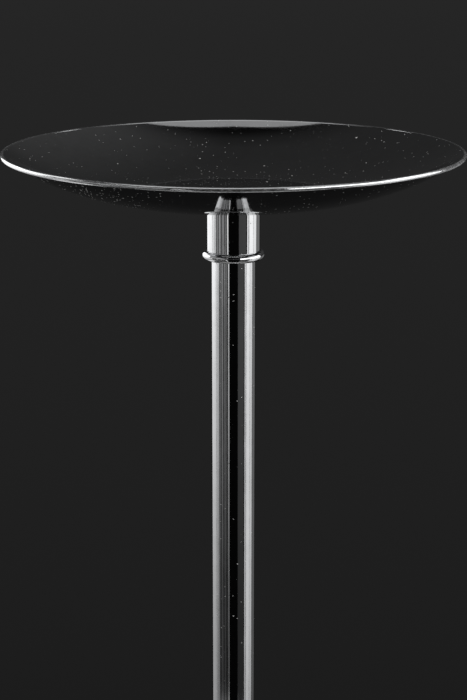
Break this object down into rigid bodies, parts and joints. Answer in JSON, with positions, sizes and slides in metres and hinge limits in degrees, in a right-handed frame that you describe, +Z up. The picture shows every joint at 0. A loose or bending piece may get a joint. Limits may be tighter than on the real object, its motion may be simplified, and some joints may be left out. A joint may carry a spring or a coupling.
{
  "type": "pedestal dish stand",
  "caption": "Floor-standing pedestal with a shallow concave dish that lifts off and turns, on a telescoping chrome pole with a thumb-screw lock and a weighted round base.",
  "frame": {"origin": "on the floor, on the pole's axis, at the centre of the base", "axes": "+Z up along the pole towards the dish, +X towards the thumb screw's knob"},
  "size_m": [0.3, 0.3, 1.0279],
  "materials": {
    "chrome": "mirror-bright plating over steel",
    "zinc_steel": "dull zinc plating",
    "cast_iron": "as cast, painted black",
    "nylon": "moulded, satin",
    "rubber": "moulded, matt"
  },
  "bodies": {
    "stand": {"rubber_foot_1": "rubber", "rubber_foot_2": "rubber", "rubber_foot_3": "rubber", "rubber_foot_4": "rubber", "ballast_disc": "cast_iron", "base_shell": "chrome", "tie_bolt": "zinc_steel", "tie_spring_washer": "zinc_steel", "tie_washer": "zinc_steel", "column_plug": "zinc_steel", "column_tube": "chrome", "base_ferrule": "chrome", "base_ferrule_ring": "chrome", "lock_collar": "chrome", "lock_collar_ring": "chrome", "guide_bush": "nylon"},
    "glide": {"pole_glide": "nylon"},
    "pole": {"pole_tube": "chrome"},
    "liner": {"socket_liner": "nylon"},
    "dish_top": {"socket_plug": "zinc_steel", "socket_sleeve": "chrome", "socket_ring": "chrome", "dish": "chrome", "dish_washer": "zinc_steel", "dish_screw": "chrome"},
    "screw_pad": {"lock_pad": "nylon"},
    "thumb_screw": {"lock_screw": "zinc_steel", "lock_knob": "chrome"}
  },
  "joints": [
    {"name": "height_slide", "type": "slide", "parent": "stand", "child": "glide", "axis": [0, 0, 1], "range_m": [-0.325, 0.187]},
    {"name": "pole_turn", "type": "hinge", "parent": "glide", "child": "pole", "pos_m": [0, 0, 0.4064], "axis": [0, 0, 1], "continuous": true},
    {"name": "dish_lift", "type": "slide", "parent": "pole", "child": "liner", "axis": [0, 0, 1], "range_m": [0, 0.03]},
    {"name": "dish_turn", "type": "hinge", "parent": "liner", "child": "dish_top", "pos_m": [0, 0, 0.988], "axis": [0, 0, 1], "continuous": true},
    {"name": "lock_travel", "type": "slide", "parent": "stand", "child": "screw_pad", "axis": [1, 0, 0], "range_m": [0, 0.0025]},
    {"name": "lock_turn", "type": "hinge", "parent": "screw_pad", "child": "thumb_screw", "pos_m": [0.0157, 0, 0.6194], "axis": [1, 0, 0], "range_deg": [0, 720]}
  ],
  "couplings": [
    {"joint": "lock_turn", "follows": "lock_travel", "rad_per_m": 5026.5}
  ]
}
